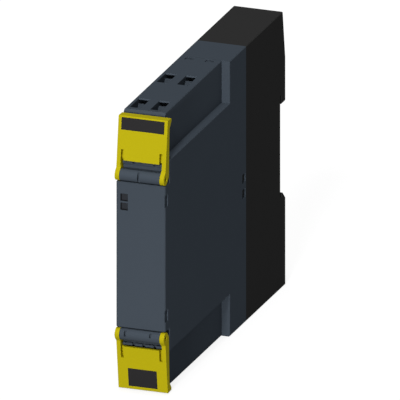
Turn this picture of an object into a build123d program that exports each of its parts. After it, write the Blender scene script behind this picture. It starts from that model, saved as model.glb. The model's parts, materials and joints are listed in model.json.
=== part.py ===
from build123d import *
import os
from math import cos, degrees, radians, sin, tan

# Interface relay in a one-module rail housing, millimetres.
# +X is right seen from the front, +Y runs back to the rail, +Z is up.
# The origin is the middle of the flat bottom.

# Housing
case_width = 17.9
case_height = 100.0
case_depth = 120.1
hood_depth = 80.7
hood_wall = 1.2
base_wall = 2.2
seam_fit = 0.1
edge_bevel = 0.25
front_round = 0.6

# Terminal zones at the top and the bottom of the hood
terminal_height = 15.2
terminal_recess = 2.92
terminal_rear = 64.4
terminal_front = 7.6
terminal_bevel = 1.0
block_fit = 0.1

# Hinged flaps
flap_zone = 23.5
flap_pocket = 4.4
hinge_drop = 21.1
hinge_setback = 0.6
lug_radius = 2.1
lug_thickness = 1.6
lug_heel = 1.0
hinge_pin_radius = 0.8
hinge_pin_fit = 0.06
hinge_side_play = 0.1
hinge_pin_recess = 1.0
barrel_slot = 0.8
barrel_slot_depth = 1.2
upper_slot_x = -0.35
lower_slot_left_x = -5.2
lower_slot_right_x = 3.95
lower_slot_low = 0.75
lower_slot_left_high = 0.15
lower_slot_right_high = 0.1
flap_reach = 20.6
flap_lean = 7.4
flap_root = 1.2
flap_root_setback = 0.35
flap_skin = 1.1
flap_arm = 1.45
flap_slot_high = 8.9
flap_slot = 1.0
flap_rear_low = 3.1
flap_flange = 6.2
flap_flange_drop = 0.2
flap_flare = 3.5
flap_arm_bow = 0.6
flap_round = 0.25
plate_thickness = 0.4
plate_fit = 0.05
upper_panel_low = 5.1
upper_plate_width = 15.6
upper_plate_low = 15.7
upper_plate_high = 20.1
lower_panel_low = 4.7
lower_plate_width = 10.5
lower_plate_low = 12.7
lower_plate_high = 19.5
rib_low = 3.6
rib_high = 4.5
rib_front = 2.1
rib_backing = 0.7
rib_notch = 0.9
rib_notch_depth = 0.8
upper_notch_left_x = -3.2
lower_notch_left_x = -3.3
lower_notch_middle_x = 0.4
notch_right_x = 4.4

# Indicator windows in the front panel
window_size = 2.7
window_x = -6.0
window_drop = 29.2
window_pitch = 3.3
window_recess = 0.4
guide_fit = 0.05
guide_flange = 3.2
guide_flange_thickness = 0.6
guide_rod = 2.0
guide_gap = 0.2
led_size = 1.6
led_depth = 1.3

# Snap features of the side walls
grip_height = 4.4
grip_rear = 2.8
grip_length = 1.9
grip_depth = 0.5
grip_drop = 29.1
snap_window_front = 77.0
snap_window_rear = 80.0
snap_window_height = 3.3
snap_window_pitch = 5.5
snap_play = 0.15
snap_reach = 0.7
snap_root = 0.3
spigot_length = 6.0

# Rail channel in the back
rail_height = 35.0
rail_low = 33.1
rail_channel_depth = 5.3
rail_catch = 1.3
rail_groove = 1.5
rail_play = 0.1
rail_lift = 2.1
lip_ramp = 3.0
lip_round = 0.7
shoulder_height = 80.8
shoulder_lean = 2.8
rail_spring_thickness = 0.3
rail_spring_inset = 1.0

# Clamp points, two columns of two in each terminal block
pole_pitch_x = 7.4
pole_first_x = -5.65
pole_pitch_y = 26.7
mouth_first = 10.2
mouth_width = 4.0
mouth_length = 9.1
mouth_bevel = 0.4
roof_thickness = 4.8
well_bottom = 4.0
crest_drop = 1.7
crest_setback = 0.3
driver_angle = 40.0
chamber_width = 4.8
chamber_front = 1.5
chamber_length = 18.5
test_slot_front = 61.3
test_slot_length = 2.0
test_slot_width = 3.0
test_slot_depth = 0.4
test_slot_shift = 0.65
busbar_thickness = 0.8
busbar_width = 4.2
busbar_front = 1.0
busbar_low = 2.2
busbar_high = 9.8
busbar_tail = 12.0
busbar_gap = 0.2
spring_thickness = 0.3
spring_width = 3.9
spring_bend = 1.2
spring_play = 0.08
spring_foot = 1.5
spring_rear_gap = 0.4
spring_top = 3.1
spring_tip_rise = 2.2

# Circuit board and the pins that plug into the terminal blocks
board_thickness = 1.5
board_left_x = -6.4
board_front = 8.2
board_rear_gap = 9.1
board_edge_gap = 3.9
board_step = 67.0
board_low = 5.0
board_play = 0.05
board_rail_inset = 3.0
board_rail_thickness = 1.2
blade_thickness = 0.6
blade_width = 2.0
blade_rise = 2.8
blade_play = 0.1
header_height = 4.3
header_margin = 3.0
header_gap = 0.1
header_side = 1.9

# Force-guided relay on the board
relay_front = 16.0
relay_length = 46.0
relay_width = 16.0
relay_centre_z = 50.0
relay_base_thickness = 1.6
relay_top_x = 7.2
relay_wall = 0.6
coil_front = 22.8
coil_rear_gap = 3.6
coil_axis_height = 4.4
coil_radius = 4.0
bobbin_flange = 8.6
bobbin_flange_thickness = 0.8
bobbin_tube_radius = 2.5
core_radius = 2.0
core_play = 0.05
pole_radius = 3.2
pole_thickness = 0.8
yoke_thickness = 1.3
yoke_width = 8.0
yoke_gap = 0.4
armature_thickness = 1.2
armature_width = 6.2
armature_height = 12.6
armature_stroke = 5.0
armature_gap = 0.05
armature_tab_width = 2.0
card_height = 8.9
card_thickness = 0.8
card_width = 9.4
card_play = 0.2
card_end = 1.0
leaf_pitch = 6.0
leaf_first = 3.6
leaf_thickness = 0.25
leaf_width = 5.0
leaf_pivot_height = 0.5
leaf_foot_gap = 0.2
leaf_tip_width = 2.0
leaf_shoulder_gap = 0.6
leaf_count = 3
contact_height = 5.8
contact_radius = 0.9
contact_thickness = 0.5
contact_clearance = 0.05
fixed_thickness = 0.5
fixed_width = 4.0
fixed_rise = 1.6
pin_length = 2.4
pin_width = 1.0
coil_pin_setback = 0.8
coil_pin_height = 1.5
coil_pin_pitch = 8.0
hole_play = 0.1

# Parts on the circuit board
rear_parts_gap = 28.1
capacitor_z = 76.0
capacitor_radius = 5.0
capacitor_length = 10.6
absorber_z = 26.0
absorber_radius = 5.0
absorber_thickness = 4.0
chip_z = 50.0
chip_size = 10.0
chip_thickness = 1.4
chip_standoff = 0.3
driver_size = 5.0
driver_lead_count = 3
chip_lead_count = 5
chip_lead_pitch = 1.6
chip_lead_width = 0.5
chip_lead_length = 1.4
chip_lead_reach = 1.1

# Places worked out from the sizes
half_width = case_width / 2
hinge_proud = lug_radius - hinge_setback
front_y = hinge_proud - (case_depth + hinge_proud) / 2
back_y = front_y + case_depth
hood_rear_y = front_y + hood_depth
axis_y = front_y + hinge_setback
axis_z = case_height - hinge_drop
block_right_x = half_width - terminal_recess
floor_z = case_height - terminal_height
seat_y = back_y - rail_channel_depth
rail_high = rail_low + rail_height
board_right_x = board_left_x + board_thickness
board_rear = case_depth - board_rear_gap
window_upper_z = case_height - window_drop
rear_parts_y = front_y + case_depth - rear_parts_gap
relay_rear_y = front_y + relay_front + relay_length
driver_y = (relay_rear_y + rear_parts_y - chip_size / 2) / 2
coil_length = relay_length - coil_front - coil_rear_gap
header_low_z = floor_z - hood_wall - header_gap - header_height
board_high_z = floor_z - board_edge_gap
blade_top_z = floor_z + blade_rise
mid_plane = Plane.XY.offset(case_height / 2)


def block(x_span, y_span, z_span):
    """Box between low and high corners given as three spans."""
    sizes = [high - low for low, high in (x_span, y_span, z_span)]
    centre = [(high + low) / 2 for low, high in (x_span, y_span, z_span)]
    return Pos(*centre) * Box(*sizes)


def about(centre, size):
    """Span of a size centred on a place."""
    return (centre - size / 2, centre + size / 2)


def side_form(outline, x_span):
    """Outline of (y, z) points, thickened across the width."""
    face = Plane.YZ.offset(x_span[0]) * make_face(Polyline(*outline, close=True))
    return extrude(face, amount=x_span[1] - x_span[0], dir=(1, 0, 0))


def cross_rod(radius, x_span, y, z):
    """Round rod along the width."""
    length = x_span[1] - x_span[0]
    return Pos((x_span[0] + x_span[1]) / 2, y, z) * Rot(0, 90, 0) * Cylinder(radius, length)


def depth_rod(radius, y_span, x, z):
    """Round rod along the depth."""
    length = y_span[1] - y_span[0]
    return Pos(x, (y_span[0] + y_span[1]) / 2, z) * Rot(90, 0, 0) * Cylinder(radius, length)


def mirrored(shape):
    """Copy for the other terminal zone, mirrored about mid height."""
    return mirror(shape, about=mid_plane)


def pole_places():
    """Column centre and mouth front of each clamp point."""
    for row in range(2):
        for column in range(2):
            yield pole_first_x + column * pole_pitch_x, front_y + mouth_first + row * pole_pitch_y


def hood_outline(wall, rear_y):
    """Stepped side outline of the hood, moved inwards by a wall."""
    lower = [
        (front_y + wall, flap_zone + wall),
        (front_y + flap_pocket + wall, flap_zone + wall),
        (front_y + flap_pocket + wall, terminal_height + wall),
        (front_y + terminal_rear + wall, terminal_height + wall),
        (front_y + terminal_rear + wall, wall),
        (rear_y, wall),
    ]
    return lower + [(y, case_height - z) for y, z in reversed(lower)]


def hinge_barrel(slot_places):
    """Upper hinge barrel with its two pin stubs, web and slots."""
    barrel_end = half_width - lug_thickness - hinge_side_play
    pin_end = half_width - hinge_pin_recess
    wall_y = front_y + flap_pocket
    barrel = cross_rod(lug_radius, (-barrel_end, barrel_end), axis_y, axis_z)
    barrel += cross_rod(hinge_pin_radius, (-pin_end, pin_end), axis_y, axis_z)
    barrel += block((-barrel_end, barrel_end), (axis_y, wall_y + hood_wall / 2), about(axis_z, lug_radius))
    slot_y = (axis_y - 2 * lug_radius, axis_y - lug_radius + barrel_slot_depth)
    for x, low, high in slot_places:
        slot_z = (axis_z + low * lug_radius, axis_z + high * lug_radius)
        barrel -= block(about(x, barrel_slot), slot_y, slot_z)
    return barrel


def stop_rib(notch_places):
    """Ledge between the upper barrel and the flap, with notches and the wall under it."""
    rib_end = half_width - lug_thickness - hinge_side_play
    span_y = (front_y + rib_front, front_y + flap_pocket + hood_wall / 2)
    rib = block((-rib_end, rib_end), span_y, (axis_z + rib_low, axis_z + rib_high))
    for x in notch_places:
        notch_y = about(span_y[0], 2 * rib_notch_depth)
        rib -= block(about(x, rib_notch), notch_y, (axis_z + rib_low, axis_z + rib_high))
    wall_y = (span_y[0] + rib_backing, span_y[1])
    return rib + block((-rib_end, rib_end), wall_y, (axis_z, axis_z + rib_low))


def window_centres():
    """Heights of the two indicator windows."""
    return [window_upper_z, window_upper_z - window_pitch]


def snap_heights():
    """Middle heights of the snap windows between hood and base."""
    return [case_height / 2 + snap_window_pitch / 2, case_height / 2 - snap_window_pitch / 2]


def front_housing():
    """Hood: panel, side walls and stepped walls behind the terminals."""
    hood = side_form(hood_outline(0, hood_rear_y), (-half_width, half_width))
    hood = fillet(hood.edges().filter_by(Axis.Z).filter_by_position(Axis.Y, front_y - 1, front_y + 1), front_round)
    sides = hood.faces().sort_by(Axis.X)
    rim = (sides[0].edges() + sides[-1].edges()).filter_by_position(Axis.Y, front_y + 1, hood_rear_y - 1)
    hood = chamfer(rim, edge_bevel)
    hood -= side_form(hood_outline(hood_wall, hood_rear_y + 1), (hood_wall - half_width, half_width - hood_wall))
    hood += hinge_barrel([(upper_slot_x, -1, 1)]) + stop_rib([upper_notch_left_x, notch_right_x])
    lower_slots = [
        (lower_slot_left_x, -lower_slot_low, lower_slot_left_high),
        (lower_slot_right_x, -lower_slot_low, -lower_slot_right_high),
    ]
    lower_rib = stop_rib([lower_notch_left_x, lower_notch_middle_x, notch_right_x])
    hood += mirrored(hinge_barrel(lower_slots) + lower_rib)

    for z in window_centres():
        hood -= block(about(window_x, window_size), (front_y - 1, front_y + hood_wall), about(z, window_size))

    snap_y = (front_y + snap_window_front, front_y + snap_window_rear)
    for side in (-1, 1):
        grip_front = front_y + grip_rear - grip_length if side < 0 else front_y - 1
        grip_y = (grip_front, front_y + grip_rear)
        for z in (case_height - grip_drop, grip_drop):
            hood -= block(about(side * half_width, 2 * grip_depth), grip_y, about(z, grip_height))
        for z in snap_heights():
            hood -= block(about(side * half_width, 3 * hood_wall), snap_y, about(z, snap_window_height))

    slots = []
    for x, y in pole_places():
        slot_x = about(x, blade_thickness + 4 * blade_play)
        slot_y = about(y + busbar_tail, blade_width + 4 * blade_play)
        slots.append(block(slot_x, slot_y, (floor_z - 2 * hood_wall, floor_z + 1)))
    for slot in slots:
        hood -= slot
        hood -= mirrored(slot)

    rail_x = (-half_width + hood_wall / 2, board_left_x - board_play)
    rail_z = board_high_z - board_rail_inset
    for z in (rail_z, case_height - rail_z):
        rail_y = (front_y + board_front, front_y + terminal_rear)
        hood += block(rail_x, rail_y, about(z, board_rail_thickness))
    return hood


def base_outline():
    """Side outline of the base with the rail channel in its back."""
    lip_low = rail_low + rail_catch
    lip_high = rail_high - rail_catch
    groove_y = seat_y + rail_groove
    return [
        (hood_rear_y, 0),
        (back_y, 0),
        (back_y, lip_low - lip_ramp),
        (back_y - lip_ramp, lip_low),
        (groove_y, lip_low),
        (groove_y, rail_low - rail_play),
        (seat_y, rail_low - rail_play),
        (seat_y, rail_high + rail_lift),
        (groove_y, rail_high + rail_lift),
        (groove_y, lip_high),
        (back_y, lip_high),
        (back_y, shoulder_height),
        (back_y - shoulder_lean, case_height),
        (hood_rear_y, case_height),
    ]


def base_hollow():
    """Side outline of the space inside the base."""
    lower_z = rail_low - rail_catch - lip_ramp - base_wall
    upper_z = rail_high + rail_lift + base_wall
    lean = shoulder_lean * (case_height - base_wall - shoulder_height) / (case_height - shoulder_height)
    return [
        (hood_rear_y - spigot_length - 1, base_wall),
        (back_y - base_wall, base_wall),
        (back_y - base_wall, lower_z),
        (seat_y - base_wall, lower_z),
        (seat_y - base_wall, upper_z),
        (back_y - base_wall, upper_z),
        (back_y - base_wall, shoulder_height),
        (back_y - base_wall - lean, case_height - base_wall),
        (hood_rear_y - spigot_length - 1, case_height - base_wall),
    ]


def snap_nose(side, z):
    """Wedge on the spigot that snaps into a window of the hood."""
    root_x = half_width - hood_wall - seam_fit
    low_y = front_y + snap_window_front + snap_play
    high_y = front_y + snap_window_rear - snap_play
    outline = [
        (root_x - snap_root, low_y),
        (root_x, low_y),
        (root_x + snap_reach, high_y),
        (root_x - snap_root, high_y),
    ]
    points = [(side * x, y) for x, y in outline]
    height = snap_window_height - 2 * snap_play
    face = Plane.XY.offset(z - height / 2) * make_face(Polyline(*points, close=True))
    return extrude(face, amount=height, dir=(0, 0, 1))


def rear_housing():
    """Base: closed back with the rail channel, and a spigot inside the hood."""
    base = side_form(base_outline(), (-half_width, half_width))
    corner = (0, back_y, rail_high - rail_catch)
    base = fillet(base.edges().filter_by(Axis.X).sort_by_distance(corner)[0], lip_round)
    rim = [
        edge
        for edge in base.edges().filter_by(lambda e: abs(abs(e.center().X) - half_width) < 0.01)
        if edge.center().Y > hood_rear_y + 1 and not seat_y - 1 < edge.center().Y < back_y - 0.2
    ]
    base = chamfer(rim, edge_bevel)
    inset = hood_wall + seam_fit
    spigot_y = (hood_rear_y - spigot_length, hood_rear_y + 1)
    spigot_x = (inset - half_width, half_width - inset)
    base += block(spigot_x, spigot_y, (inset, case_height - inset))
    base -= side_form(base_hollow(), (base_wall - half_width, half_width - base_wall))
    for side in (-1, 1):
        for z in snap_heights():
            base += snap_nose(side, z)
    return base


def rail_spring():
    """Bowed strip in the upper groove that presses the rail down."""
    top_z = rail_high + rail_lift - rail_spring_thickness / 2
    end_x = half_width - rail_spring_inset
    bow = rail_lift - rail_spring_thickness - 3 * rail_play
    line = ThreePointArc((-end_x, top_z), (0, top_z - bow), (end_x, top_z))
    strip = trace(line, line_width=rail_spring_thickness)
    width = rail_groove - 2 * rail_play
    face = Plane.XZ.offset(-seat_y - rail_play - width) * strip
    spring = extrude(face, amount=width, dir=(0, -1, 0))
    return spring & block((-end_x, end_x), (seat_y, back_y), (rail_low, rail_high + rail_lift))


def flap_face_y(reach):
    """Depth of the flap's outer face at a distance from the hinge."""
    return front_y + flap_root_setback + (reach - flap_rear_low) * tan(radians(flap_lean))


def flap_plane(reach):
    """Plane on the upper flap's outer face, its y axis away from the hinge."""
    normal = (0, -cos(radians(flap_lean)), sin(radians(flap_lean)))
    return Plane(origin=(0, flap_face_y(reach), axis_z + reach), x_dir=(1, 0, 0), z_dir=normal)


def flap_lug(side):
    """Round lug with a heel at the back, on one side of the flap."""
    circles = [Circle(lug_radius), Pos(lug_heel, lug_heel) * Circle(lug_radius)]
    face = make_hull(circles[0].edges() + circles[1].edges())
    low_x = half_width - lug_thickness if side > 0 else -half_width
    lug = extrude(Plane.YZ.offset(low_x) * Pos(axis_y, axis_z) * face, amount=lug_thickness, dir=(1, 0, 0))
    return lug


def make_flap(panel_low, plate_width, plate_low, plate_high):
    """Upper flap and the plate in its face, both in place."""
    rear_y = axis_y + flap_rear_low
    top_z = axis_z + flap_reach
    flange_y = front_y + flap_flange
    wall = [
        (flap_face_y(flap_root), axis_z + flap_root),
        (flap_face_y(flap_reach), top_z),
        (flange_y, top_z - flap_flange_drop),
        (flange_y, top_z - flap_skin),
        (rear_y + flap_arm_bow, top_z - flap_flare),
        (rear_y, axis_z + flap_rear_low),
        (rear_y, axis_z + flap_root),
    ]
    panel = [
        (flap_face_y(panel_low), axis_z + panel_low),
        (flap_face_y(flap_reach), top_z),
        (flange_y, top_z - flap_flange_drop),
        (flange_y, top_z - flap_skin),
        (flap_face_y(flap_reach) + flap_skin, top_z - flap_skin),
        (flap_face_y(panel_low) + flap_skin, axis_z + panel_low),
    ]
    flap = side_form(panel, (-half_width, half_width))
    flap += side_form(wall, (half_width - flap_arm, half_width))
    flap += side_form(wall, (-half_width, flap_arm - half_width))
    flap += flap_lug(1) + flap_lug(-1)
    outer_top = flap.edges().filter_by(Axis.X).group_by(Axis.Z)[-1]
    flap = fillet(outer_top, flap_round)

    bore = hinge_pin_radius + hinge_pin_fit
    flap -= cross_rod(bore, (-half_width - 1, half_width + 1), axis_y, axis_z)
    slot_x = half_width - flap_arm - flap_slot / 2
    slot_z = (axis_z + panel_low - 1, axis_z + flap_slot_high)
    for side in (-1, 1):
        flap -= block(about(side * slot_x, flap_slot), (front_y - 2, rear_y + 2), slot_z)

    middle = flap_plane((plate_low + plate_high) / 2)
    height = plate_high - plate_low
    flap -= middle * Box(plate_width, height, 2 * plate_thickness)
    size = (plate_width - 2 * plate_fit, height - 2 * plate_fit, plate_thickness)
    plate = middle * Pos(0, 0, -plate_thickness / 2) * Box(*size)
    return flap, plate


def entry_outline(y):
    """Side outline of a wire entry: bevelled mouth, wire ramp and driver channel behind its crest."""
    low_z = case_height - roof_thickness - 1
    rear = y + mouth_length
    crest_y = rear - crest_setback
    slope = tan(radians(driver_angle))
    return [
        (y, case_height + 1),
        (rear + mouth_bevel + 1, case_height + 1),
        (rear, case_height - mouth_bevel),
        (rear + (case_height - mouth_bevel - low_z) / slope, low_z),
        (crest_y + (case_height - crest_drop - low_z) / slope, low_z),
        (crest_y, case_height - crest_drop),
        (y + well_bottom, low_z),
        (y, low_z),
    ]


def terminal_block():
    """Upper terminal block with four wire entries over open chambers."""
    low_y = front_y + terminal_front
    high_y = front_y + terminal_rear - block_fit
    outline = [
        (low_y, floor_z),
        (high_y, floor_z),
        (high_y, case_height),
        (low_y + terminal_bevel, case_height),
        (low_y, case_height - terminal_bevel),
    ]
    body = side_form(outline, (-half_width, block_right_x))
    body = chamfer(body.edges().filter_by(Axis.Y).group_by(Axis.Z)[-1], edge_bevel)
    slot_y = (front_y + test_slot_front, front_y + test_slot_front + test_slot_length)
    for x, y in pole_places():
        body -= side_form(entry_outline(y), about(x, mouth_width))
        chamber_y = (y - chamber_front, y - chamber_front + chamber_length)
        body -= block(about(x, chamber_width), chamber_y, (floor_z - 1, case_height - roof_thickness))
        slot_x = about(x + test_slot_shift, test_slot_width)
        body -= block(slot_x, slot_y, (case_height - test_slot_depth, case_height + 1))
    return body


def busbar(x, y):
    """Bent current bar of one clamp, ending in a tab for the blade."""
    low = floor_z + busbar_low
    front = y - busbar_front
    tail = y + busbar_tail - blade_width / 2 - blade_play
    outline = [
        (front, low),
        (tail - busbar_thickness, low),
        (tail - busbar_thickness, floor_z + busbar_gap),
        (tail, floor_z + busbar_gap),
        (tail, low + busbar_thickness),
        (front + busbar_thickness, low + busbar_thickness),
        (front + busbar_thickness, floor_z + busbar_high),
        (front, floor_z + busbar_high),
    ]
    return side_form(outline, about(x, busbar_width))


def clamp_spring(x, y):
    """Bent strip whose leg presses the wire against the current bar."""
    base_z = floor_z + busbar_low + busbar_thickness + spring_thickness / 2 + spring_play
    top_z = case_height - roof_thickness - spring_thickness / 2 - spring_play
    rear = y + mouth_length + spring_rear_gap
    tip_y = y - busbar_front + busbar_thickness + spring_thickness
    points = [
        (y + spring_foot, base_z),
        (rear, base_z),
        (rear, top_z),
        (rear - spring_top, top_z),
        (tip_y, base_z + spring_tip_rise),
    ]
    line = FilletPolyline(*points, radius=spring_bend)
    strip = trace(line, line_width=spring_thickness)
    low_x, high_x = about(x, spring_width)
    return extrude(Plane.YZ.offset(low_x) * strip, amount=high_x - low_x, dir=(1, 0, 0))


def blade_spans(x, y):
    """Spans of the plug blade that meets one clamp's current bar."""
    return (
        about(x, blade_thickness),
        about(y + busbar_tail, blade_width),
        (header_low_z + header_height / 2, blade_top_z),
    )


def pin_header():
    """Plastic strip on the board's upper edge that holds the blades."""
    places = list(pole_places())
    columns = [x for x, y in places]
    rows = [y + busbar_tail for x, y in places]
    span_x = (min(columns) - header_side, max(columns) + header_side)
    span_y = (min(rows) - header_margin, max(rows) + header_margin)
    body = block(span_x, span_y, (header_low_z, header_low_z + header_height))
    groove_x = (board_left_x - board_play, board_right_x + board_play)
    body -= block(groove_x, (span_y[0] - 1, span_y[1] + 1), (header_low_z - 1, board_high_z + board_play))
    for x, y in places:
        spans = blade_spans(x, y)
        body -= block(*[(low - board_play, high + board_play) for low, high in spans])
    return body


def header_blades():
    """The four blades of a header."""
    return [block(*blade_spans(x, y)) for x, y in pole_places()]


def relay_spot(depth, height, drop):
    """Point in the relay: depth from its front, height over its base, drop from its top."""
    x = board_right_x + relay_base_thickness + height
    return x, front_y + relay_front + depth, relay_centre_z + relay_width / 2 - drop


def leaf_depths():
    """Depths of the moving leaves from the relay's front."""
    return [leaf_first + index * leaf_pitch for index in range(leaf_count)]


def armature_pivot():
    """Point on the armature's axis, the front top edge of the yoke."""
    return relay_spot(coil_front - pole_thickness, coil_axis_height, relay_wall + yoke_gap)


def tab_lever():
    """Distance from the armature's axis to the middle of its tab."""
    return armature_height - armature_tab_width / 2


def card_travel():
    """Travel of the card over the armature's stroke."""
    return tab_lever() * radians(armature_stroke)


def leaf_turn():
    """Angle of a leaf over the armature's stroke, in radians."""
    return card_travel() / (card_height + card_thickness / 2 - leaf_pivot_height)


def contact_gap():
    """Open gap that closes to a small clearance at full stroke."""
    swing = (contact_height - leaf_pivot_height) * leaf_turn()
    return swing + contact_radius * leaf_turn() + contact_clearance


def relay_pins():
    """Depth and drop of each pin through the base and the board."""
    middle = relay_width / 2
    places = []
    for index, depth in enumerate(leaf_depths()):
        places.append((fixed_depth(index), middle))
    depth = relay_length - relay_wall - coil_pin_setback
    places += [(depth, drop) for drop in about(middle, coil_pin_pitch)]
    return places


def fixed_depth(index):
    """Depth of a fixed contact blade's middle: one opens, the others close."""
    offset = leaf_thickness / 2 + 2 * contact_thickness + fixed_thickness / 2
    if index == 0:
        return leaf_depths()[0] - offset - contact_clearance
    return leaf_depths()[index] + offset + contact_gap()


def pin_hole(place, play):
    """Pin or hole at a place of the relay, through the base and the board."""
    x, y, z = relay_spot(place[0], 0, place[1])
    high_x = x + play
    low_x = board_right_x - pin_length + play
    size_y = fixed_thickness + 2 * play
    size_z = pin_width + 2 * play
    return block((low_x - 2 * play, high_x), about(y, size_y), about(z, size_z))


def relay_base():
    """Floor of the relay, with holes for the pins."""
    low_x = board_right_x
    span_y = (front_y + relay_front, front_y + relay_front + relay_length)
    body = block((low_x, low_x + relay_base_thickness), span_y, about(relay_centre_z, relay_width))
    for place in relay_pins():
        body -= pin_hole(place, hole_play)
    return body


def relay_cover():
    """Dust cover of the relay, open towards its base."""
    low_x = board_right_x + relay_base_thickness
    span_y = (front_y + relay_front, front_y + relay_front + relay_length)
    body = block((low_x, relay_top_x), span_y, about(relay_centre_z, relay_width))
    body = chamfer(body.edges().filter_by(lambda e: e.center().X > low_x + 0.1), edge_bevel)
    inner_y = (span_y[0] + relay_wall, span_y[1] - relay_wall)
    inner_z = about(relay_centre_z, relay_width - 2 * relay_wall)
    return body - block((low_x - 1, relay_top_x - relay_wall), inner_y, inner_z)


def coil_axis():
    """Height and drop of the coil's axis in the relay."""
    return coil_axis_height, relay_wall + yoke_gap + yoke_thickness + board_play + bobbin_flange / 2


def coil_parts():
    """Bobbin, winding, core with its pole face, and the bent yoke."""
    height, drop = coil_axis()
    x, y, z = relay_spot(coil_front, height, drop)
    rear = y + coil_length
    bobbin = depth_rod(bobbin_tube_radius, (y, rear), x, z)
    for low in (y, rear - bobbin_flange_thickness):
        bobbin += block(about(x, bobbin_flange), (low, low + bobbin_flange_thickness), about(z, bobbin_flange))
    bobbin -= depth_rod(core_radius + core_play, (y - 1, rear + 1), x, z)

    inner = (y + bobbin_flange_thickness, rear - bobbin_flange_thickness)
    winding = depth_rod(coil_radius, inner, x, z) - depth_rod(bobbin_tube_radius, (y, rear), x, z)

    core = depth_rod(core_radius, (y - pole_thickness / 2, rear), x, z)
    core += depth_rod(pole_radius, (y - pole_thickness, y), x, z)

    top_z = relay_spot(0, 0, relay_wall + yoke_gap)[2]
    foot_z = z - bobbin_flange / 2
    yoke = [
        (y - pole_thickness, top_z),
        (rear + yoke_thickness, top_z),
        (rear + yoke_thickness, foot_z),
        (rear, foot_z),
        (rear, top_z - yoke_thickness),
        (y - pole_thickness, top_z - yoke_thickness),
    ]
    return bobbin, winding, core, side_form(yoke, about(x, yoke_width))


def armature():
    """Hinged iron plate, standing open, with a tab that drives the card."""
    x, y, z = armature_pivot()
    rear = y - armature_gap
    plate = block(about(x, armature_width), (rear - armature_thickness, rear), (z - armature_height, z))
    tab_top = relay_spot(0, card_height + card_thickness, 0)[0]
    tab_z = (z - armature_height, z - armature_height + armature_tab_width)
    plate += block((x, tab_top), (rear - armature_thickness, rear), tab_z)
    return Pos(0, y, z) * Rot(-armature_stroke, 0, 0) * Pos(0, -y, -z) * plate


def switching_card():
    """Sliding card that the tab moves and that moves every leaf together."""
    low_x = relay_spot(0, card_height, 0)[0]
    x, y, z = armature_pivot()
    tab_z = z - tab_lever()
    tab_y = y - armature_gap - armature_thickness / 2 - tab_lever() * tan(radians(armature_stroke))
    tab_size = armature_thickness + armature_tab_width * sin(radians(armature_stroke)) + 2 * card_play
    first_y = front_y + relay_front + leaf_first
    span_y = (first_y - card_end, tab_y + tab_size / 2 + card_end)
    middle_z = (tab_z + relay_centre_z) / 2
    card = block((low_x, low_x + card_thickness), span_y, about(middle_z, card_width))
    tab_hole_z = about(tab_z, armature_tab_width + 2 * card_play)
    card -= block((low_x - 1, low_x + card_thickness + 1), about(tab_y, tab_size), tab_hole_z)
    for depth in leaf_depths():
        slot_x, slot_y, slot_z = relay_spot(depth, card_height, relay_width / 2)
        slot_size = leaf_thickness + 2 * card_play
        slot_z_span = about(slot_z, leaf_tip_width + 2 * card_play)
        card -= block((low_x - 1, low_x + card_thickness + 1), about(slot_y, slot_size), slot_z_span)
    return card


def moving_leaf(index):
    """Spring leaf with its contact, standing on the base and led by the card."""
    depth = leaf_depths()[index]
    foot_x, y, z = relay_spot(depth, leaf_foot_gap, relay_width / 2)
    shoulder_x = relay_spot(0, card_height - leaf_shoulder_gap, 0)[0]
    tip_x = relay_spot(0, card_height + card_thickness, 0)[0]
    leaf = block((foot_x, shoulder_x), about(y, leaf_thickness), about(z, leaf_width))
    leaf += block((shoulder_x, tip_x), about(y, leaf_thickness), about(z, leaf_tip_width))
    contact_x = relay_spot(0, contact_height, 0)[0]
    direction = -1 if index == 0 else 1
    face = y + direction * leaf_thickness / 2
    span = sorted((face, face + direction * contact_thickness))
    return leaf + depth_rod(contact_radius, span, contact_x, z)


def fixed_contact(index):
    """Fixed blade with its contact and a pin through the board."""
    depth = fixed_depth(index)
    middle = relay_width / 2
    base_x, y, z = relay_spot(depth, 0, middle)
    top_x = relay_spot(0, contact_height + fixed_rise, 0)[0]
    blade = block((base_x, top_x), about(y, fixed_thickness), about(z, fixed_width))
    pin_x = (board_right_x - pin_length, base_x + fixed_thickness)
    blade += block(pin_x, about(y, fixed_thickness), about(z, pin_width))
    contact_x = relay_spot(0, contact_height, 0)[0]
    direction = 1 if index == 0 else -1
    face = y + direction * fixed_thickness / 2
    span = sorted((face, face + direction * contact_thickness))
    return blade + depth_rod(contact_radius, span, contact_x, z)


def coil_pins():
    """The two pins that feed the coil."""
    pins = []
    for depth, drop in relay_pins()[leaf_count:]:
        top_x, y, z = relay_spot(depth, coil_pin_height, drop)
        span_x = (board_right_x - pin_length, top_x)
        pins.append(block(span_x, about(y, fixed_thickness), about(z, pin_width)))
    return pins


def circuit_board():
    """Upright board, narrow between the terminals and full height behind."""
    lower = [
        (front_y + board_front, case_height - board_high_z),
        (front_y + board_step, case_height - board_high_z),
        (front_y + board_step, board_low),
        (front_y + board_rear, board_low),
    ]
    outline = lower + [(y, case_height - z) for y, z in reversed(lower)]
    board = side_form(outline, (board_left_x, board_right_x))
    for place in relay_pins():
        board -= pin_hole(place, hole_play)
    return board


def light_guide(z):
    """Clear guide from an indicator window back to its lamp."""
    wall_y = front_y + hood_wall
    rear_y = front_y + board_front - led_depth - guide_gap
    head = window_size - 2 * guide_fit
    guide = block(about(window_x, head), (front_y + window_recess, wall_y), about(z, head))
    flange_y = (wall_y, wall_y + guide_flange_thickness)
    guide += block(about(window_x, guide_flange), flange_y, about(z, guide_flange))
    return guide + block(about(window_x, guide_rod), (wall_y, rear_y), about(z, guide_rod))


def lamp(z):
    """Small lamp on the board's front edge."""
    rear_y = front_y + board_front
    middle_x = (board_left_x + board_right_x) / 2
    return block(about(middle_x, led_size), (rear_y - led_depth, rear_y), about(z, led_size))


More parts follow.
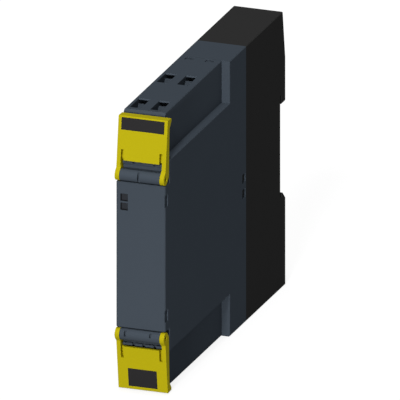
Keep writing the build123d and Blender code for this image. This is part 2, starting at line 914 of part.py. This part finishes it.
def chip(y, z, size, lead_count):
    """Flat chip with a row of leads on two sides."""
    low_x = board_right_x + chip_standoff
    body = block((low_x, low_x + chip_thickness), about(y, size), about(z, size))
    for side in (-1, 1):
        centre_z = z + side * (size / 2 + chip_lead_reach - chip_lead_length / 2)
        for index in range(lead_count):
            lead_y = about(y + (index - (lead_count - 1) / 2) * chip_lead_pitch, chip_lead_width)
            body += block((board_right_x, low_x + chip_thickness / 2), lead_y, about(centre_z, chip_lead_length))
    return body


def smoothing_capacitor():
    """Round capacitor standing on the board."""
    span_x = (board_right_x, board_right_x + capacitor_length)
    body = cross_rod(capacitor_radius, span_x, rear_parts_y, capacitor_z)
    return chamfer(body.edges().filter_by(GeomType.CIRCLE).sort_by(Axis.X)[-1], edge_bevel)


def surge_absorber():
    """Round disc that catches voltage peaks."""
    span_x = (board_right_x, board_right_x + absorber_thickness)
    return cross_rod(absorber_radius, span_x, rear_parts_y, absorber_z)


os.makedirs("parts", exist_ok=True)


def save(name, shape):
    """Write one sub-part, or a group of like solids, to its file."""
    if isinstance(shape, list):
        shape = Compound(children=shape)
    export_step(shape, f"parts/{name}.step")


save("front_housing", front_housing())
save("rear_housing", rear_housing())
save("rail_spring", rail_spring())

upper_flap, upper_plate = make_flap(upper_panel_low, upper_plate_width, upper_plate_low, upper_plate_high)
lower_flap, lower_plate = make_flap(lower_panel_low, lower_plate_width, lower_plate_low, lower_plate_high)
save("upper_flap", upper_flap)
save("upper_flap_plate", upper_plate)
save("lower_flap", mirrored(lower_flap))
save("lower_flap_plate", mirrored(lower_plate))

save("upper_terminal_block", terminal_block())
save("lower_terminal_block", mirrored(terminal_block()))
for number, (x, y) in enumerate(pole_places(), start=1):
    save(f"upper_busbar_{number}", busbar(x, y))
    save(f"lower_busbar_{number}", mirrored(busbar(x, y)))
    save(f"upper_clamp_spring_{number}", clamp_spring(x, y))
    save(f"lower_clamp_spring_{number}", mirrored(clamp_spring(x, y)))
save("upper_pin_header", pin_header())
save("lower_pin_header", mirrored(pin_header()))
save("upper_header_blades", header_blades())
save("lower_header_blades", [mirrored(blade) for blade in header_blades()])

save("circuit_board", circuit_board())
upper_window_z, lower_window_z = window_centres()
save("power_light_guide", light_guide(upper_window_z))
save("status_light_guide", light_guide(lower_window_z))
save("power_lamp", lamp(upper_window_z))
save("status_lamp", lamp(lower_window_z))
save("input_controller", chip(rear_parts_y, chip_z, chip_size, chip_lead_count))
save("coil_driver", chip(driver_y, chip_z, driver_size, driver_lead_count))
save("smoothing_capacitor", smoothing_capacitor())
save("surge_absorber", surge_absorber())

save("relay_base", relay_base())
save("relay_cover", relay_cover())
bobbin, winding, core, yoke = coil_parts()
save("coil_bobbin", bobbin)
save("coil_winding", winding)
save("coil_core", core)
save("magnet_yoke", yoke)
save("coil_pins", coil_pins())
save("armature", armature())
save("switching_card", switching_card())
for index in range(leaf_count):
    save(f"moving_contact_{index + 1}", moving_leaf(index))
    save(f"fixed_contact_{index + 1}", fixed_contact(index))

print("card travel mm", round(card_travel(), 4), "leaf turn deg", round(degrees(leaf_turn()), 4))
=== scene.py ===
"""Studio scene of a slim interface relay.

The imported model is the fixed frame. Each sub-assembly is a class that dresses its own parts and adds its small
pieces, and the studio adds floor, lamps and camera.
"""

from __future__ import annotations

import json
import logging
import math
from dataclasses import dataclass
from enum import Enum

import bmesh
import bpy
from mathutils import Matrix, Vector

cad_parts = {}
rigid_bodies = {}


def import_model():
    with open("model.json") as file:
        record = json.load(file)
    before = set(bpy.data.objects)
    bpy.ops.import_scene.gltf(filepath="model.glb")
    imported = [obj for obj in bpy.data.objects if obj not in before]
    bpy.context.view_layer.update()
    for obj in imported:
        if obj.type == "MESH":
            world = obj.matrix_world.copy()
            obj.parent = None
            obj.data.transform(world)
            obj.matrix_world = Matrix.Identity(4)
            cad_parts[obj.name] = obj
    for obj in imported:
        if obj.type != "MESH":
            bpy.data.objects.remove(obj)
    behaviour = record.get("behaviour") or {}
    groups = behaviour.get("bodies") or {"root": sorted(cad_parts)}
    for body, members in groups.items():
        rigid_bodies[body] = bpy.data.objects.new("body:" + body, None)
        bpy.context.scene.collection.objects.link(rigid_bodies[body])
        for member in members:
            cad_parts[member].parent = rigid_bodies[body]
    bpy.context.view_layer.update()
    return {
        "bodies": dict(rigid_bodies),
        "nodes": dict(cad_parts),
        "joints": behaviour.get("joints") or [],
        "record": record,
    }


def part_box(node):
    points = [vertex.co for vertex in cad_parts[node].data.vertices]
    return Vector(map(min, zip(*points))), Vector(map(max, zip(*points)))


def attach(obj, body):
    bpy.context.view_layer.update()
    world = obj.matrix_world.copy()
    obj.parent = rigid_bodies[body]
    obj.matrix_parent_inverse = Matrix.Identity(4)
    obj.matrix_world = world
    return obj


LOG = logging.getLogger("interface_relay")

MM = 0.001
NOISE_MIDDLE = 0.5
CLAMPS_PER_BLOCK = 4
CONTACTS = 3
# Radius of the flaps' lugs, and how far the lugs stand out from the front panel, in millimetres.
LUG_RADIUS = 2.1
LUG_PROUD = 1.5

Colour = tuple[float, float, float]
Direction = tuple[float, float, float]


class Zone(Enum):
    """The two terminal zones, named by their place on the housing."""

    UPPER = "upper"
    LOWER = "lower"


class Side(Enum):
    """The two sides of a flap seen from the front, with their sign along the width."""

    LEFT = -1
    RIGHT = 1


class Indicator(Enum):
    """The two indicators of the front panel."""

    POWER = "power"
    STATUS = "status"


def grey(value: float) -> tuple[float, float, float, float]:
    """Return an opaque grey as a colour socket takes it."""
    return (value, value, value, 1.0)


def add_box(mesh: bmesh.types.BMesh, centre: Vector, size: Vector, lean: Matrix | None = None) -> None:
    """Add a box to a mesh.

    Args:
        mesh: mesh that takes the box.
        centre: middle of the box, in metres.
        size: width, depth and height, in metres.
        lean: shear about the middle, or None for an upright box.
    """
    shape = Matrix.Diagonal((*size, 1.0))
    if lean is not None:
        shape = lean @ shape
    bmesh.ops.create_cube(mesh, size=1.0, matrix=Matrix.Translation(centre) @ shape)


class Graph:
    """Short ways to add and join nodes in one node tree."""

    def __init__(self, tree: bpy.types.NodeTree) -> None:
        """Clear the tree.

        Args:
            tree: node tree of a material, a world or a group.
        """
        self.tree = tree
        tree.nodes.clear()

    def add(self, kind: str, **settings: object) -> bpy.types.Node:
        """Add a node.

        Args:
            kind: node type name.
            settings: attributes set on the node.

        Returns:
            The new node.
        """
        node = self.tree.nodes.new(kind)
        for name, value in settings.items():
            setattr(node, name, value)
        return node

    def set(self, node: bpy.types.Node, **values: object) -> bpy.types.Node:
        """Set input values by socket name, with underscores for spaces.

        Args:
            node: node whose sockets are set.
            values: socket values.

        Returns:
            The same node.
        """
        for name, value in values.items():
            node.inputs[name.replace("_", " ")].default_value = value
        return node

    def join(self, source: bpy.types.NodeSocket, target: bpy.types.NodeSocket) -> None:
        """Link an output to an input."""
        self.tree.links.new(source, target)

    def math(self, operation: str, first: object, second: object) -> bpy.types.NodeSocket:
        """Add a Math node on two sockets or numbers.

        Args:
            operation: name of the operation.
            first: socket or number.
            second: socket or number.

        Returns:
            The result socket.
        """
        node = self.add("ShaderNodeMath", operation=operation)
        for index, value in enumerate((first, second)):
            if isinstance(value, (int, float)):
                node.inputs[index].default_value = value
            else:
                self.join(value, node.inputs[index])
        return node.outputs[0]

    def swing(self, noise: bpy.types.NodeSocket, amount: object) -> bpy.types.NodeSocket:
        """Turn a noise value into a change about zero.

        Args:
            noise: noise value about its middle.
            amount: socket or number, the width of the change.

        Returns:
            The result socket.
        """
        return self.math("MULTIPLY", self.math("SUBTRACT", noise, NOISE_MIDDLE), amount)

    def seen(self) -> bpy.types.NodeSocket:
        """Return the mask of the rays that show the studio: camera, transmission and glossy rays."""
        path = self.add("ShaderNodeLightPath")
        through = self.math("MAXIMUM", path.outputs["Is Camera Ray"], path.outputs["Is Transmission Ray"])
        return self.math("MAXIMUM", through, path.outputs["Is Glossy Ray"])


@dataclass(frozen=True)
class MouldedLook:
    """Noise settings of moulded plastic, with the scale in turns for each metre."""

    grain_detail: float = 3.0
    grain_roughness: float = 0.55
    cloud_scale: float = 45.0
    cloud_detail: float = 4.0
    cloud_roughness: float = 0.6
    cloud_gloss: float = 0.16


@dataclass(frozen=True)
class BrushedLook:
    """Noise settings of rolled or drawn metal, with the scale in turns for each metre."""

    streak_stretch: float = 0.06
    streak_detail: float = 4.0
    streak_roughness: float = 0.6
    streak_gloss: float = 0.3
    stain_scale: float = 260.0
    stain_detail: float = 3.0


class SurfaceGroups:
    """Shader node groups that several finishes share, and the materials made with them."""

    moulded_look = MouldedLook()
    brushed_look = BrushedLook()

    def __init__(self) -> None:
        """Build each group once."""
        self.moulded = self._moulded()
        self.brushed = self._brushed()
        self.made: dict[str, bpy.types.Material] = {}

    @staticmethod
    def _start(name: str, numbers: tuple[str, ...]) -> tuple[Graph, bpy.types.Node, bpy.types.Node]:
        """Start a group with a colour input and some numbers.

        Args:
            name: name of the group.
            numbers: names of its number inputs.

        Returns:
            The graph with its input and output nodes.
        """
        tree = bpy.data.node_groups.new(name, "ShaderNodeTree")
        face = tree.interface
        face.new_socket("Colour", in_out="INPUT", socket_type="NodeSocketColor")
        for number in numbers:
            face.new_socket(number, in_out="INPUT", socket_type="NodeSocketFloat")
        face.new_socket("Colour", in_out="OUTPUT", socket_type="NodeSocketColor")
        face.new_socket("Roughness", in_out="OUTPUT", socket_type="NodeSocketFloat")
        face.new_socket("Height", in_out="OUTPUT", socket_type="NodeSocketFloat")
        graph = Graph(tree)
        return graph, graph.add("NodeGroupInput"), graph.add("NodeGroupOutput")

    def _moulded(self) -> bpy.types.NodeTree:
        """Return the group of moulded plastic: fine spark-eroded grain, soft mottling of colour and gloss."""
        look = self.moulded_look
        graph, given, out = self._start("moulded_surface", ("Grain Scale", "Mottling", "Roughness"))
        place = graph.add("ShaderNodeTexCoord").outputs["Object"]
        grain = graph.add("ShaderNodeTexNoise")
        graph.set(grain, Detail=look.grain_detail, Roughness=look.grain_roughness)
        graph.join(place, grain.inputs["Vector"])
        graph.join(given.outputs["Grain Scale"], grain.inputs["Scale"])
        cloud = graph.add("ShaderNodeTexNoise")
        graph.set(cloud, Scale=look.cloud_scale, Detail=look.cloud_detail, Roughness=look.cloud_roughness)
        graph.join(place, cloud.inputs["Vector"])

        shade = graph.swing(cloud.outputs["Fac"], given.outputs["Mottling"])
        speck = graph.swing(grain.outputs["Fac"], given.outputs["Mottling"])
        value = graph.math("ADD", graph.math("ADD", shade, speck), 1.0)
        tint = graph.add("ShaderNodeHueSaturation")
        graph.join(given.outputs["Colour"], tint.inputs["Color"])
        graph.join(value, tint.inputs["Value"])
        graph.join(tint.outputs["Color"], out.inputs["Colour"])

        gloss = graph.swing(cloud.outputs["Fac"], look.cloud_gloss)
        graph.join(graph.math("ADD", given.outputs["Roughness"], gloss), out.inputs["Roughness"])
        graph.join(grain.outputs["Fac"], out.inputs["Height"])
        return graph.tree

    def _brushed(self) -> bpy.types.NodeTree:
        """Return the group of rolled or drawn metal: long fine streaks and faint stains."""
        look = self.brushed_look
        graph, given, out = self._start("brushed_surface", ("Streak Scale", "Stain", "Roughness"))
        place = graph.add("ShaderNodeTexCoord").outputs["Object"]
        stretch = graph.add("ShaderNodeMapping")
        stretch.inputs["Scale"].default_value = (1.0, 1.0, look.streak_stretch)
        graph.join(place, stretch.inputs["Vector"])
        streak = graph.add("ShaderNodeTexNoise")
        graph.set(streak, Detail=look.streak_detail, Roughness=look.streak_roughness)
        graph.join(stretch.outputs["Vector"], streak.inputs["Vector"])
        graph.join(given.outputs["Streak Scale"], streak.inputs["Scale"])
        stain = graph.set(graph.add("ShaderNodeTexNoise"), Scale=look.stain_scale, Detail=look.stain_detail)
        graph.join(place, stain.inputs["Vector"])

        value = graph.swing(stain.outputs["Fac"], given.outputs["Stain"])
        tint = graph.add("ShaderNodeHueSaturation")
        graph.join(given.outputs["Colour"], tint.inputs["Color"])
        graph.join(graph.math("ADD", value, 1.0), tint.inputs["Value"])
        graph.join(tint.outputs["Color"], out.inputs["Colour"])
        gloss = graph.swing(streak.outputs["Fac"], look.streak_gloss)
        graph.join(graph.math("ADD", given.outputs["Roughness"], gloss), out.inputs["Roughness"])
        graph.join(streak.outputs["Fac"], out.inputs["Height"])
        return graph.tree


@dataclass(frozen=True)
class Finish:
    """A finish of one material, the same wherever that material is used. A metal takes the brushed group."""

    name: str
    colour: Colour
    roughness: float = 0.45
    grain_mm: float = 0.3
    grain_depth_mm: float = 0.012
    grain_strength: float = 0.35
    mottling: float = 0.06
    specular: float = 0.3
    metallic: float = 0.0
    coat: float = 0.0
    coat_roughness: float = 0.12
    transmission: float = 0.0
    ior: float = 1.5

    def material(self, groups: SurfaceGroups) -> bpy.types.Material:
        """Make the material, or return the one made before.

        Args:
            groups: shared surface groups.

        Returns:
            The material.
        """
        if self.name in groups.made:
            return groups.made[self.name]
        made = bpy.data.materials.new(f"{self.name}_surface")
        groups.made[self.name] = made
        made.use_nodes = True
        graph = Graph(made.node_tree)
        shader = graph.add("ShaderNodeBsdfPrincipled")
        graph.set(shader, Metallic=self.metallic, IOR=self.ior, Specular_IOR_Level=self.specular)
        graph.set(shader, Coat_Weight=self.coat, Coat_Roughness=self.coat_roughness)
        graph.set(shader, Transmission_Weight=self.transmission)
        surface = graph.add("ShaderNodeGroup", node_tree=groups.brushed if self.metallic else groups.moulded)
        scale, amount, rough = [socket for socket in surface.inputs if socket.type == "VALUE"]
        surface.inputs["Colour"].default_value = (*self.colour, 1.0)
        scale.default_value = 1.0 / (self.grain_mm * MM)
        amount.default_value = self.mottling
        rough.default_value = self.roughness
        graph.join(surface.outputs["Colour"], shader.inputs["Base Color"])
        graph.join(surface.outputs["Roughness"], shader.inputs["Roughness"])
        bump = graph.add("ShaderNodeBump")
        graph.set(bump, Strength=self.grain_strength, Distance=self.grain_depth_mm * MM)
        graph.join(surface.outputs["Height"], bump.inputs["Height"])
        graph.join(bump.outputs["Normal"], shader.inputs["Normal"])
        output = graph.add("ShaderNodeOutputMaterial")
        graph.join(shader.outputs["BSDF"], output.inputs["Surface"])
        return made


HOUSING_GREY = Finish("housing_grey", (0.0591, 0.0737, 0.0925), roughness=0.7, specular=0.0)
BASE_BLACK = Finish("base_black", (0.035, 0.035, 0.035), roughness=0.7, specular=0.0)
FLAP_YELLOW = Finish("flap_yellow", (0.483, 0.412, 0.006), roughness=0.65, mottling=0.04, specular=0.02)
PLATE_BLACK = Finish("plate_black", (0.022, 0.021, 0.022), roughness=0.5, grain_depth_mm=0.004, specular=0.05)
PANE_DARK = Finish("pane_dark", (0.013, 0.016, 0.021), roughness=0.3, coat=0.2, grain_depth_mm=0.001, specular=0.1)
# Near-black of the plates behind the indicator panes: painted shadow of the window recesses' walls.
PAINTED_SHADOW_BLACK = Finish("painted_shadow_black", (0.006, 0.006, 0.007), roughness=0.6, grain_depth_mm=0.002, specular=0.05)
GUIDE_CLEAR = Finish("guide_clear", (0.10, 0.11, 0.12), roughness=0.15, coat=0.4, grain_depth_mm=0.001)
LAMP_WHITE = Finish("lamp_white", (0.75, 0.74, 0.68), roughness=0.35)
SPRING_STEEL = Finish("spring_steel", (0.50, 0.50, 0.52), roughness=0.3, metallic=1.0, grain_mm=0.15)
CONTACT_BRASS = Finish("contact_brass", (0.70, 0.62, 0.45), roughness=0.32, metallic=1.0, grain_mm=0.15)
MAGNET_IRON = Finish("magnet_iron", (0.46, 0.46, 0.48), roughness=0.4, metallic=1.0, grain_mm=0.2)
CAN_ALUMINIUM = Finish("can_aluminium", (0.62, 0.62, 0.64), roughness=0.35, metallic=1.0, grain_mm=0.2)
BOARD_GREEN = Finish("board_green", (0.010, 0.105, 0.045), roughness=0.35, mottling=0.2, coat=0.3)
CHIP_BLACK = Finish("chip_black", (0.018, 0.018, 0.019), roughness=0.55)
ABSORBER_BLUE = Finish("absorber_blue", (0.02, 0.07, 0.26), roughness=0.4, coat=0.3, mottling=0.1)
RELAY_BLACK = Finish("relay_black", (0.020, 0.020, 0.022), roughness=0.45)
COVER_SMOKED = Finish("cover_smoked", (0.72, 0.72, 0.68), roughness=0.12, transmission=0.85, grain_depth_mm=0.001)
BOBBIN_WHITE = Finish("bobbin_white", (0.72, 0.70, 0.64), roughness=0.5)
WINDING_COPPER = Finish("winding_copper", (0.66, 0.26, 0.10), roughness=0.3, metallic=1.0, grain_mm=0.2)


class Assembly:
    """A sub-assembly that dresses the nodes it owns."""

    body = "housing"

    def __init__(self, frame: dict, groups: SurfaceGroups) -> None:
        """Keep the frame and the shared groups.

        Args:
            groups: shared surface groups.
        """
        self.frame = frame
        self.groups = groups

    def nodes(self) -> dict[str, Finish]:
        """Return the finish of each node that the sub-assembly owns."""
        raise NotImplementedError

    def dress(self) -> None:
        """Give every owned node its finish."""
        for name, finish in self.nodes().items():
            item = self.frame["nodes"][name]
            material = finish.material(self.groups)
            for slot in item.material_slots:
                slot.material = material
            LOG.info("dressed %s with %s", name, finish.name)

    def add(self, name: str, mesh: bmesh.types.BMesh, finish: Finish, slot: str) -> bpy.types.Object:
        """Turn a bmesh into a piece that rides on the sub-assembly's body.

        Args:
            name: name of the piece.
            mesh: its mesh, in place.
            finish: its finish.
            slot: not used.

        Returns:
            The new object.
        """
        data = bpy.data.meshes.new(name)
        bmesh.ops.recalc_face_normals(mesh, faces=mesh.faces)
        mesh.to_mesh(data)
        mesh.free()
        item = bpy.data.objects.new(name, data)
        bpy.context.scene.collection.objects.link(item)
        data.materials.append(finish.material(self.groups))
        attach(item, self.body)
        LOG.info("added %s", name)
        return item

    def build(self) -> None:
        """Dress the nodes. A sub-assembly with pieces of its own adds them here too."""
        self.dress()


class ZoneAssembly(Assembly):
    """A sub-assembly that each terminal zone has one of."""

    def __init__(self, frame: dict, groups: SurfaceGroups, zone: Zone) -> None:
        """Keep the zone as well.

        Args:
            groups: shared surface groups.
            zone: terminal zone of the sub-assembly.
        """
        super().__init__(frame, groups)
        self.zone = zone


@dataclass(frozen=True)
class GripSizes:
    """Sizes of the bar in front of each grip on the right side, in millimetres."""

    inset: float = 0.25
    depth: float = 0.25
    length: float = 0.9
    height: float = 4.4
    drop: float = 29.1


class Housing(Assembly):
    """Hood, base and the rail spring."""

    sizes = GripSizes()

    def nodes(self) -> dict[str, Finish]:
        """Return the finish of each housing part."""
        return {"front_housing": HOUSING_GREY, "rear_housing": BASE_BLACK, "rail_spring": SPRING_STEEL}

    def grip_bar(self, zone: Zone) -> bmesh.types.BMesh:
        """Build the bar that ends a grip at the front panel.

        Args:
            zone: half of the housing that the grip is in.

        Returns:
            The bar's mesh, in place.
        """
        sizes = self.sizes
        low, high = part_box("front_housing")
        height = high.z - sizes.drop * MM if zone is Zone.UPPER else low.z + sizes.drop * MM
        side = high.x - (sizes.inset + sizes.depth / 2) * MM
        centre = Vector((side, low.y + (LUG_PROUD + sizes.length / 2) * MM, height))
        mesh = bmesh.new()
        add_box(mesh, centre, Vector((sizes.depth, sizes.length, sizes.height)) * MM)
        return mesh

    def build(self) -> None:
        """Dress the housing and add the grip bars."""
        self.dress()
        for zone in Zone:
            self.add(f"{zone.value}_grip_bar", self.grip_bar(zone), HOUSING_GREY, "housing_grey")


@dataclass(frozen=True)
class PaneSizes:
    """Sizes of an indicator pane and the black plate behind it, in millimetres. The pane is smaller than the plate
    and shifted right and up, so the plate shows as a dark strip at the pane's left and bottom: painted shadow of the
    window's recess walls.
    """

    shadow_plate_side: float = 2.6
    shadow_plate_thickness: float = 0.08
    side: float = 2.2
    thickness: float = 0.25
    bevel: float = 0.08
    bevel_segments: int = 3
    # Shifting the pane bares the black plate behind it at the left and bottom as a painted shadow.
    shift: float = 0.2


class Indicators(Assembly):
    """Indicator panes, light guides and lamps."""

    sizes = PaneSizes()

    def nodes(self) -> dict[str, Finish]:
        """Return the finish of guides and lamps."""
        found = {}
        for indicator in Indicator:
            found[f"{indicator.value}_light_guide"] = GUIDE_CLEAR
            found[f"{indicator.value}_lamp"] = LAMP_WHITE
        return found

    def plate(self, guide: str, side: float, thickness: float, gap: float, shift: float) -> bmesh.types.BMesh:
        """Build a square plate in front of one light guide.

        Args:
            guide: node of the guide that carries the plate.
            side: length of its sides, in millimetres like the sizes that follow.
            thickness: its thickness.
            gap: distance of its back from the guide.
            shift: shift to the right and up.

        Returns:
            The plate's mesh, in place.
        """
        low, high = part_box(guide)
        centre = Vector(((low.x + high.x) / 2, low.y, (low.z + high.z) / 2))
        centre += Vector((shift, -gap - thickness / 2, shift)) * MM
        mesh = bmesh.new()
        add_box(mesh, centre, Vector((side, thickness, side)) * MM)
        return mesh

    def pane(self, guide: str) -> bmesh.types.BMesh:
        """Build the pane of one light guide, with a bevel round its face.

        Args:
            guide: node of the guide that carries the pane.

        Returns:
            The pane's mesh, in place.
        """
        sizes = self.sizes
        mesh = self.plate(guide, sizes.side, sizes.thickness, sizes.shadow_plate_thickness, sizes.shift)
        middle = sum(vert.co.y for vert in mesh.verts) / len(mesh.verts)
        rim = [edge for edge in mesh.edges if all(vert.co.y < middle for vert in edge.verts)]
        offset, segments = sizes.bevel * MM, sizes.bevel_segments
        bmesh.ops.bevel(mesh, geom=rim, offset=offset, segments=segments, profile=0.5, affect="EDGES", material=-1)
        return mesh

    def build(self) -> None:
        """Dress the guides and lamps and add the panes and the black plates behind them, whose bared edges are
        painted shadow.
        """
        self.dress()
        sizes = self.sizes
        for indicator in Indicator:
            guide = f"{indicator.value}_light_guide"
            # The black plate behind the pane shows at the pane's left and bottom as a painted shadow of the recess
            # walls.
            shadow_plate = self.plate(guide, sizes.shadow_plate_side, sizes.shadow_plate_thickness, gap=0.0, shift=0.0)
            self.add(f"{indicator.value}_bezel", shadow_plate, PAINTED_SHADOW_BLACK, "guide_dark")
            self.add(f"{indicator.value}_pane", self.pane(guide), PANE_DARK, "guide_dark")


@dataclass(frozen=True)
class WebSizes:
    """Sizes of the webs behind a flap's slots.

    They are millimetres, outwards from the hinge axis or inwards from the face, and the face's lean in degrees.
    """

    face_setback: float = 1.85
    face_reach: float = 3.1
    lean: float = 7.4
    skin: float = 1.1
    floor: float = 1.8
    back: float = 2.2
    inner: float = 6.1
    edge: float = 6.5
    outer: float = 7.6
    start: float = 5.1
    end: float = 9.2


class Flap(ZoneAssembly):
    """One hinged flap with the plate in its face."""

    sizes = WebSizes()

    @property
    def body(self) -> str:
        """Return the body of the flap, which has the flap's own name."""
        return f"{self.zone.value}_flap"

    def nodes(self) -> dict[str, Finish]:
        """Return the finish of the flap and its plate."""
        return {self.body: FLAP_YELLOW, f"{self.body}_plate": PLATE_BLACK}

    def web(self, side: Side) -> bmesh.types.BMesh:
        """Build the rib along one slot and the web that closes the slot at the back.

        Args:
            side: side of the flap that the slot is on.

        Returns:
            The mesh, in place and leaning with the face.
        """
        sizes = self.sizes
        low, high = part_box(self.body)
        upper = self.zone is Zone.UPPER
        up = 1 if upper else -1
        axis_z = low.z + LUG_RADIUS * MM if upper else high.z - LUG_RADIUS * MM
        slope = math.tan(math.radians(sizes.lean))
        reach = (sizes.start + sizes.end) / 2
        face = sizes.face_setback + (reach - sizes.face_reach) * slope
        leaning = Matrix.Identity(4)
        leaning[1][2] = up * slope
        mesh = bmesh.new()
        rib = (sizes.inner, sizes.edge, sizes.skin, sizes.back)
        floor = (sizes.edge, sizes.outer, sizes.floor, sizes.back)
        for inner, outer, front, back in (rib, floor):
            depth = face + (front + back) / 2
            across = side.value * (inner + outer) / 2
            centre = Vector((across * MM, low.y + depth * MM, axis_z + up * reach * MM))
            size = Vector((outer - inner, back - front, sizes.end - sizes.start)) * MM
            add_box(mesh, centre, size, leaning)
        return mesh

    def build(self) -> None:
        """Dress the flap and add the webs of its slots."""
        self.dress()
        for side in Side:
            self.add(f"{self.body}_{side.name.lower()}_web", self.web(side), FLAP_YELLOW, "flap_yellow")


class Terminals(ZoneAssembly):
    """One terminal block with its clamps, and the header that it plugs on."""

    def nodes(self) -> dict[str, Finish]:
        """Return the finish of the block, clamps and header."""
        name = self.zone.value
        found = {
            f"{name}_terminal_block": HOUSING_GREY,
            f"{name}_pin_header": RELAY_BLACK,
            f"{name}_header_blades": CONTACT_BRASS,
        }
        for number in range(1, CLAMPS_PER_BLOCK + 1):
            found[f"{name}_busbar_{number}"] = CONTACT_BRASS
            found[f"{name}_clamp_spring_{number}"] = SPRING_STEEL
        return found


class Electronics(Assembly):
    """Circuit board and the parts on it."""

    def nodes(self) -> dict[str, Finish]:
        """Return the finish of the board and its parts."""
        return {
            "circuit_board": BOARD_GREEN,
            "input_controller": CHIP_BLACK,
            "coil_driver": CHIP_BLACK,
            "smoothing_capacitor": CAN_ALUMINIUM,
            "surge_absorber": ABSORBER_BLUE,
        }


class ForceGuidedRelay(Assembly):
    """Relay on the board: magnet, armature, card and contacts."""

    def nodes(self) -> dict[str, Finish]:
        """Return the finish of each relay part."""
        found = {
            "relay_base": RELAY_BLACK,
            "relay_cover": COVER_SMOKED,
            "coil_bobbin": BOBBIN_WHITE,
            "coil_winding": WINDING_COPPER,
            "coil_core": MAGNET_IRON,
            "magnet_yoke": MAGNET_IRON,
            "coil_pins": CONTACT_BRASS,
            "armature": MAGNET_IRON,
            "switching_card": BOBBIN_WHITE,
        }
        for number in range(1, CONTACTS + 1):
            found[f"moving_contact_{number}"] = CONTACT_BRASS
            found[f"fixed_contact_{number}"] = CONTACT_BRASS
        return found


@dataclass(frozen=True)
class Lamp:
    """A far lamp.

    Its aim points towards it and is as long as the share of full light that it gives. Its spread is the angle of its
    disc in degrees.
    """

    name: str
    aim: Direction
    spread: float


@dataclass
class Studio:
    """Floor, lamps, world and camera, in metres and degrees. The lamps leave a colour about as it is written."""

    azimuth: float = 20.0
    elevation: float = 20.0
    view_height: float = 0.1366
    target: Direction = (0.0, 0.0, 0.05033)
    camera_distance: float = 1.0
    floor_size: float = 6.0
    floor_bounce: float = 0.35
    floor_shade: float = 0.25
    floor_glow: float = 0.85
    ambient: float = 0.20
    lamps: tuple[Lamp, ...] = (
        Lamp("front_light", (0.04, -0.46, 0.025), 4.0),
        Lamp("raised_light", (0.04, -0.31, 0.24), 10.0),
        Lamp("top_light", (0.0, -0.02, 0.31), 12.0),
        Lamp("side_light", (0.03, 0.0, 0.003), 8.0),
    )

    def camera(self) -> None:
        """Place the parallel camera at the photograph's viewing angle."""
        data = bpy.data.cameras.new("camera")
        data.type = "ORTHO"
        data.ortho_scale = self.view_height
        camera = bpy.data.objects.new("camera", data)
        bpy.context.scene.collection.objects.link(camera)
        turn, rise = math.radians(self.azimuth), math.radians(self.elevation)
        back = Vector((math.sin(turn) * math.cos(rise), -math.cos(turn) * math.cos(rise), math.sin(rise)))
        camera.location = Vector(self.target) + back * self.camera_distance
        camera.rotation_mode = "QUATERNION"
        camera.rotation_quaternion = (-back).to_track_quat("-Z", "Y")
        bpy.context.scene.camera = camera

    def hang(self, lamp: Lamp) -> None:
        """Add a lamp. A sun of strength pi gives full light, so the share is taken of that."""
        direction = Vector(lamp.aim)
        data = bpy.data.lights.new(lamp.name, "SUN")
        data.energy = math.pi * direction.length
        data.angle = math.radians(lamp.spread)
        light = bpy.data.objects.new(lamp.name, data)
        bpy.context.scene.collection.objects.link(light)
        light.location = Vector(self.target) + direction
        light.rotation_mode = "QUATERNION"
        light.rotation_quaternion = (-direction).to_track_quat("-Z", "Y")

    def floor(self) -> None:
        """Lay the pale floor, which keeps the object's shadow."""
        mesh = bmesh.new()
        bmesh.ops.create_grid(mesh, x_segments=1, y_segments=1, size=self.floor_size / 2)
        data = bpy.data.meshes.new("floor")
        mesh.to_mesh(data)
        mesh.free()
        floor = bpy.data.objects.new("floor", data)
        bpy.context.scene.collection.objects.link(floor)
        material = bpy.data.materials.new("studio_floor")
        material.use_nodes = True
        graph = Graph(material.node_tree)
        shown = graph.set(graph.add("ShaderNodeBsdfDiffuse"), Color=grey(self.floor_shade))
        glow = graph.set(graph.add("ShaderNodeEmission"), Color=grey(1.0), Strength=self.floor_glow)
        bounce = graph.set(graph.add("ShaderNodeBsdfDiffuse"), Color=grey(self.floor_bounce))
        bright = graph.add("ShaderNodeAddShader")
        graph.join(shown.outputs[0], bright.inputs[0])
        graph.join(glow.outputs[0], bright.inputs[1])
        mix = graph.add("ShaderNodeMixShader")
        graph.join(graph.seen(), mix.inputs[0])
        graph.join(bounce.outputs[0], mix.inputs[1])
        graph.join(bright.outputs[0], mix.inputs[2])
        graph.join(mix.outputs[0], graph.add("ShaderNodeOutputMaterial").inputs["Surface"])
        data.materials.append(material)

    def world(self) -> None:
        """Set a white backdrop and a dimmer even light on the object."""
        world = bpy.data.worlds.new("studio")
        world.use_nodes = True
        bpy.context.scene.world = world
        graph = Graph(world.node_tree)
        strength = graph.math("ADD", graph.math("MULTIPLY", graph.seen(), 1.0 - self.ambient), self.ambient)
        light = graph.set(graph.add("ShaderNodeBackground"), Color=grey(1.0))
        graph.join(strength, light.inputs["Strength"])
        graph.join(light.outputs[0], graph.add("ShaderNodeOutputWorld").inputs["Surface"])

    def build(self) -> None:
        """Build the whole studio."""
        self.camera()
        self.world()
        self.floor()
        for lamp in self.lamps:
            self.hang(lamp)
        bpy.context.scene.view_settings.view_transform = "Standard"
        LOG.info("built studio")


def main() -> None:
    """Dress the relay, add its small pieces and build the studio."""
    logging.basicConfig(level=logging.INFO, format="%(name)s: %(message)s")
    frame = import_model()
    groups = SurfaceGroups()
    Studio().build()
    Housing(frame, groups).build()
    Indicators(frame, groups).build()
    for zone in Zone:
        Flap(frame, groups, zone).build()
        Terminals(frame, groups, zone).build()
    Electronics(frame, groups).build()
    ForceGuidedRelay(frame, groups).build()


if __name__ == "__main__":
    main()
